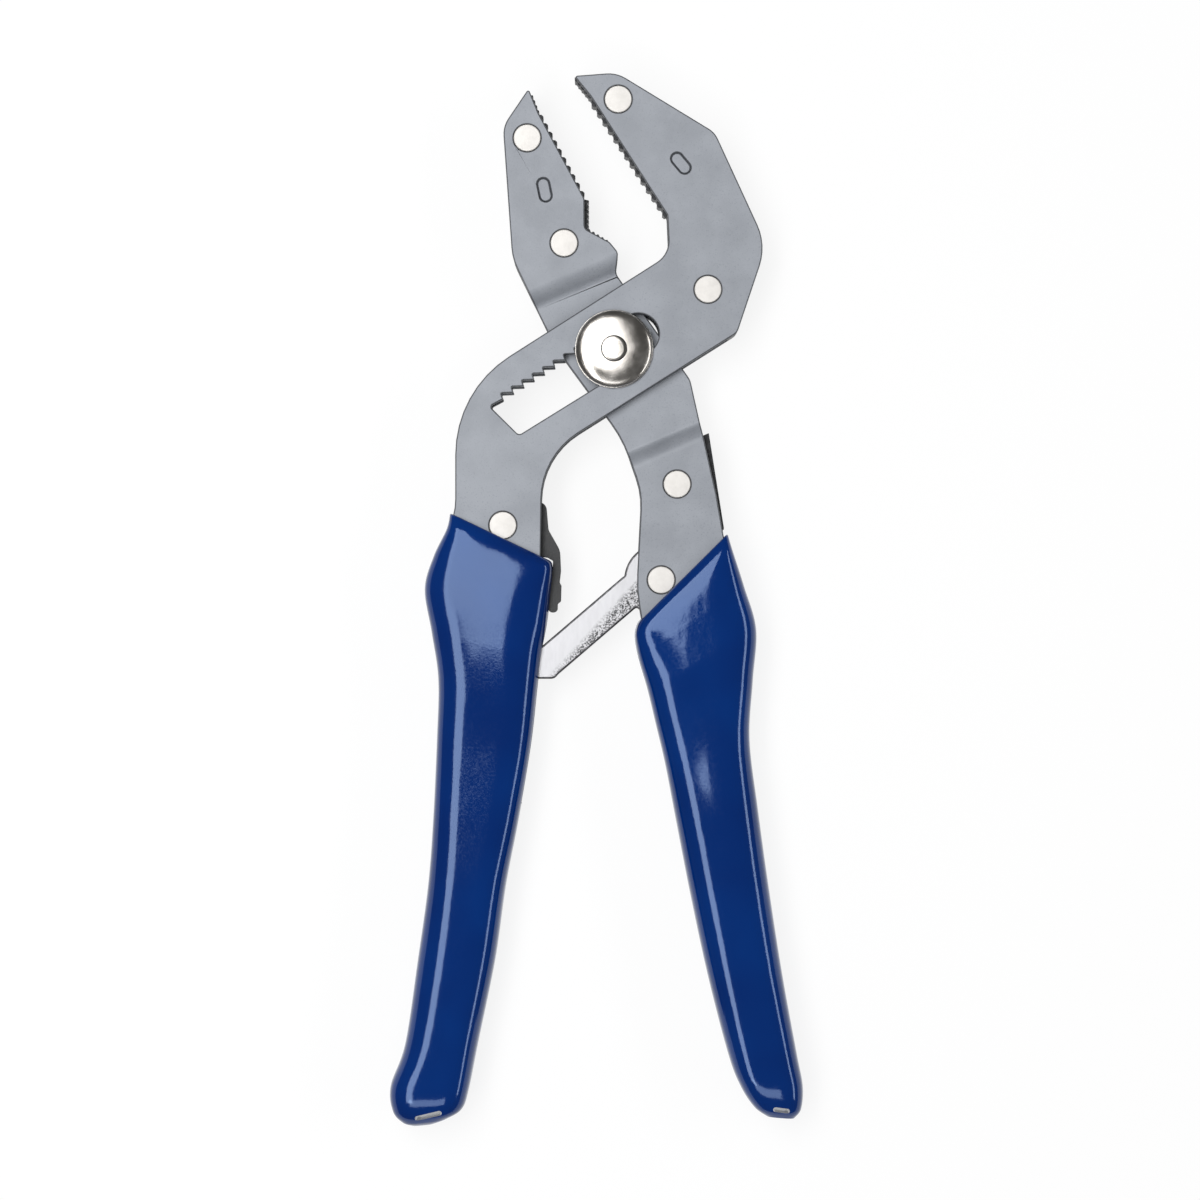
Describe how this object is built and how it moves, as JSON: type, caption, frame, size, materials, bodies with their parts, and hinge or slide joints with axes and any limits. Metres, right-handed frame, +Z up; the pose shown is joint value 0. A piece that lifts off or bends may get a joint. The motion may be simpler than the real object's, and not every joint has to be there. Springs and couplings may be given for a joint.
{
  "type": "tongue and groove pliers",
  "caption": "Self-adjusting pliers with a slotted lever, a joggled lever, toothed jaws, a strut and dipped grips.",
  "frame": {"origin": "pivot axis, on the flat peened end of the pivot pin under the tool", "axes": "+Y from the handles towards the jaws, +X towards the hook jaw's back, +Z up, square to the flat plates"},
  "size_m": [0.0889, 0.2257, 0.0148],
  "materials": {
    "enamel_steel": "satin",
    "core_steel": "matte",
    "rivet_steel": "satin",
    "pivot_nickel": "polished",
    "strut_chrome": "satin",
    "inner_steel": "matte",
    "bush_bronze": "satin",
    "spring_steel": "satin",
    "grip_vinyl": "gloss",
    "latch_plastic": "matte"
  },
  "bodies": {
    "slotted_lever": {"slotted_plate_front": "enamel_steel", "slotted_plate_rear": "enamel_steel", "hook_jaw_core": "core_steel", "hook_jaw_rivets": "rivet_steel", "latch_rivet": "rivet_steel", "left_handle_core": "inner_steel", "left_handle_rivets": "rivet_steel", "left_grip": "grip_vinyl", "return_spring": "spring_steel"},
    "pivot_carriage": {"pivot_pin": "pivot_nickel", "pivot_cap_front": "pivot_nickel", "pivot_cap_rear": "pivot_nickel"},
    "shift_pawl": {"shift_pawl_front": "inner_steel", "shift_pawl_rear": "inner_steel"},
    "bush_ring": {"pivot_bush": "bush_bronze"},
    "jaw_lever": {"joggled_plate_front": "enamel_steel", "joggled_plate_rear": "enamel_steel", "straight_jaw_core": "core_steel", "straight_jaw_rivets": "rivet_steel", "right_handle_spacer": "core_steel", "right_handle_core": "inner_steel", "right_handle_rivets": "rivet_steel", "strut_rivet": "rivet_steel", "right_grip": "grip_vinyl"},
    "strut_ring": {"strut_bush": "bush_bronze"},
    "strut_link": {"strut": "strut_chrome", "cross_pin": "rivet_steel"},
    "spring_plunger": {"spring_seat": "inner_steel"},
    "latch": {"handle_latch": "latch_plastic"}
  },
  "joints": [
    {"name": "jaw_adjust", "type": "slide", "parent": "slotted_lever", "child": "pivot_carriage", "axis": [-0.8499, -0.527, 0], "range_m": [0, 0.02104]},
    {"name": "pawl_engage", "type": "hinge", "parent": "pivot_carriage", "child": "shift_pawl", "pos_m": [0, 0, 0.0073], "axis": [0, 0, 1], "range_deg": [0, 20]},
    {"name": "lever_follow", "type": "hinge", "parent": "pivot_carriage", "child": "bush_ring", "pos_m": [0, 0, 0.0073], "axis": [0, 0, 1], "range_deg": [0, 24.2]},
    {"name": "grip_squeeze", "type": "hinge", "parent": "bush_ring", "child": "jaw_lever", "pos_m": [0, 0, 0.0073], "axis": [0, 0, -1], "range_deg": [0, 9.8]},
    {"name": "strut_follow", "type": "hinge", "parent": "jaw_lever", "child": "strut_ring", "pos_m": [0.0101, -0.0494, 0.0073], "axis": [0, 0, 1], "range_deg": [-29, 0]},
    {"name": "strut_swing", "type": "hinge", "parent": "strut_ring", "child": "strut_link", "pos_m": [0.0101, -0.0494, 0.0073], "axis": [0, 0, 1], "range_deg": [0, 28.6]},
    {"name": "spring_travel", "type": "slide", "parent": "slotted_lever", "child": "spring_plunger", "axis": [-0.1219, -0.9925, 0], "range_m": [0, 0.0142], "stiffness_N_per_m": 150, "springref_m": -0.02, "deforming": ["return_spring"]},
    {"name": "latch_swing", "type": "hinge", "parent": "slotted_lever", "child": "latch", "pos_m": [-0.0238, -0.0377, 0.0073], "axis": [0, 0, 1], "range_deg": [0, 18]}
  ],
  "couplings": [
    {"joint": "lever_follow", "follows": "jaw_adjust", "rad_per_m": 19.956},
    {"joint": "strut_follow", "follows": "jaw_adjust", "rad_per_m": -23.934},
    {"joint": "strut_swing", "follows": "grip_squeeze", "ratio": 2.895},
    {"joint": "spring_travel", "follows": "grip_squeeze", "m_per_rad": 0.0815}
  ]
}
